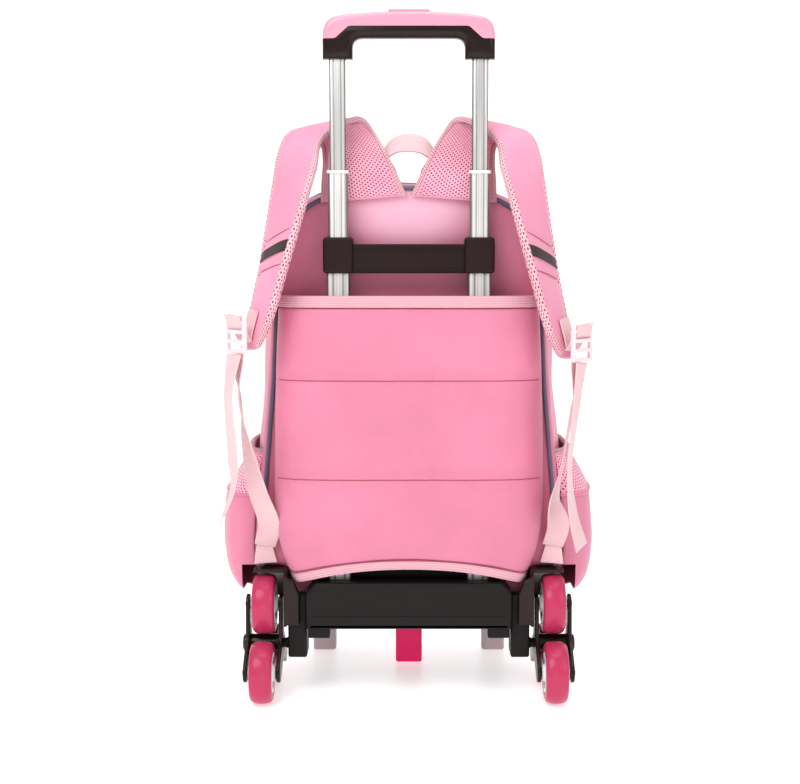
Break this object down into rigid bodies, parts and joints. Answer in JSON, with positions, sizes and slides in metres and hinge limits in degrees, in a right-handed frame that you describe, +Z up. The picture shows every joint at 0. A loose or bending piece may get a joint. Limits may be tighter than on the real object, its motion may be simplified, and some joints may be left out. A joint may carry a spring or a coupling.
{
  "type": "wheeled backpack",
  "caption": "Child's backpack on a moulded base with stair-climbing wheel carriers, a telescoping handle behind a padded back sleeve and padded shoulder straps.",
  "frame": {"origin": "on the floor, at the middle of the bag's footprint", "axes": "+X to the right of someone who faces the padded back, +Y from the padded back towards the bag's front, +Z up"},
  "size_m": [0.4096, 0.2452, 0.7191],
  "materials": {
    "pink_fabric": "satin-faced polyester, soft sheen",
    "mesh_fabric": "knitted air mesh, matt",
    "pale_webbing": "woven tape, matt",
    "navy_trim": "covered cord and coil zip, satin",
    "grey_reflective": "smooth reflective tape, satin",
    "pale_plastic": "moulded, satin",
    "aluminium": "drawn and anodised, fine flutes",
    "black_plastic": "moulded, matt",
    "dark_plastic": "moulded, glossy dark brown",
    "pink_plastic": "moulded, glossy",
    "hot_pink_plastic": "moulded, satin",
    "grey_plastic": "moulded, satin",
    "tyre_plastic": "moulded, glossy raspberry",
    "white_plastic": "moulded, glossy white"
  },
  "bodies": {
    "bag": {"bag_shell": "pink_fabric", "back_sleeve": "pink_fabric", "side_pocket_left": "pink_fabric", "side_pocket_right": "pink_fabric", "shoulder_strap_left": "pink_fabric", "shoulder_strap_right": "pink_fabric", "side_pocket_mesh_left": "mesh_fabric", "side_pocket_mesh_right": "mesh_fabric", "strap_mesh_left": "mesh_fabric", "strap_mesh_right": "mesh_fabric", "sleeve_top_binding": "pale_webbing", "sleeve_hem_binding": "pale_webbing", "webbing_run_left": "pale_webbing", "webbing_run_right": "pale_webbing", "webbing_tail_left": "pale_webbing", "webbing_tail_right": "pale_webbing", "anchor_tab_left": "pale_webbing", "anchor_tab_right": "pale_webbing", "grab_handle": "pale_webbing", "main_zip": "navy_trim", "back_piping": "navy_trim", "reflective_band_left": "grey_reflective", "reflective_band_right": "grey_reflective", "ladder_lock_left": "pale_plastic", "ladder_lock_right": "pale_plastic", "outer_tube_left": "aluminium", "outer_tube_right": "aluminium", "tube_bracket": "black_plastic", "base_bar": "black_plastic", "base_tray": "black_plastic", "axle_housing_left": "black_plastic", "axle_housing_right": "black_plastic", "fender_left": "dark_plastic", "fender_right": "dark_plastic", "centre_foot": "hot_pink_plastic", "front_foot_left": "grey_plastic", "front_foot_right": "grey_plastic"},
    "trolley_middle": {"middle_tube_left": "aluminium", "middle_tube_right": "aluminium"},
    "trolley_handle": {"inner_tube_left": "aluminium", "inner_tube_right": "aluminium", "grip_base": "dark_plastic", "grip_shell": "pink_plastic"},
    "grip_button": {"grip_button": "pink_plastic"},
    "carrier_left": {"star_carrier_left": "dark_plastic"},
    "wheel_left_top": {"tyre_left_top": "tyre_plastic", "hub_left_top": "white_plastic"},
    "wheel_left_near": {"tyre_left_near": "tyre_plastic", "hub_left_near": "white_plastic"},
    "wheel_left_far": {"tyre_left_far": "tyre_plastic", "hub_left_far": "white_plastic"},
    "carrier_right": {"star_carrier_right": "dark_plastic"},
    "wheel_right_top": {"tyre_right_top": "tyre_plastic", "hub_right_top": "white_plastic"},
    "wheel_right_near": {"tyre_right_near": "tyre_plastic", "hub_right_near": "white_plastic"},
    "wheel_right_far": {"tyre_right_far": "tyre_plastic", "hub_right_far": "white_plastic"}
  },
  "joints": [
    {"name": "middle_stage_slide", "type": "slide", "parent": "bag", "child": "trolley_middle", "axis": [0, 0, 1], "range_m": [-0.064, 0.1]},
    {"name": "handle_slide", "type": "slide", "parent": "trolley_middle", "child": "trolley_handle", "axis": [0, 0, 1], "range_m": [-0.111, 0.1]},
    {"name": "button_press", "type": "slide", "parent": "trolley_handle", "child": "grip_button", "axis": [0, 0, -1], "range_m": [0, 0.003], "stiffness_N_per_m": 600},
    {"name": "carrier_left_turn", "type": "hinge", "parent": "bag", "child": "carrier_left", "pos_m": [-0.1548, -0.05338, 0.054], "axis": [1, 0, 0], "continuous": true},
    {"name": "wheel_left_top_spin", "type": "hinge", "parent": "carrier_left", "child": "wheel_left_top", "pos_m": [-0.1548, -0.05338, 0.097], "axis": [1, 0, 0], "continuous": true},
    {"name": "wheel_left_near_spin", "type": "hinge", "parent": "carrier_left", "child": "wheel_left_near", "pos_m": [-0.1548, -0.09062, 0.0325], "axis": [1, 0, 0], "continuous": true},
    {"name": "wheel_left_far_spin", "type": "hinge", "parent": "carrier_left", "child": "wheel_left_far", "pos_m": [-0.1548, -0.01614, 0.0325], "axis": [1, 0, 0], "continuous": true},
    {"name": "carrier_right_turn", "type": "hinge", "parent": "bag", "child": "carrier_right", "pos_m": [0.1548, -0.05338, 0.054], "axis": [1, 0, 0], "continuous": true},
    {"name": "wheel_right_top_spin", "type": "hinge", "parent": "carrier_right", "child": "wheel_right_top", "pos_m": [0.1548, -0.05338, 0.097], "axis": [1, 0, 0], "continuous": true},
    {"name": "wheel_right_near_spin", "type": "hinge", "parent": "carrier_right", "child": "wheel_right_near", "pos_m": [0.1548, -0.09062, 0.0325], "axis": [1, 0, 0], "continuous": true},
    {"name": "wheel_right_far_spin", "type": "hinge", "parent": "carrier_right", "child": "wheel_right_far", "pos_m": [0.1548, -0.01614, 0.0325], "axis": [1, 0, 0], "continuous": true}
  ]
}
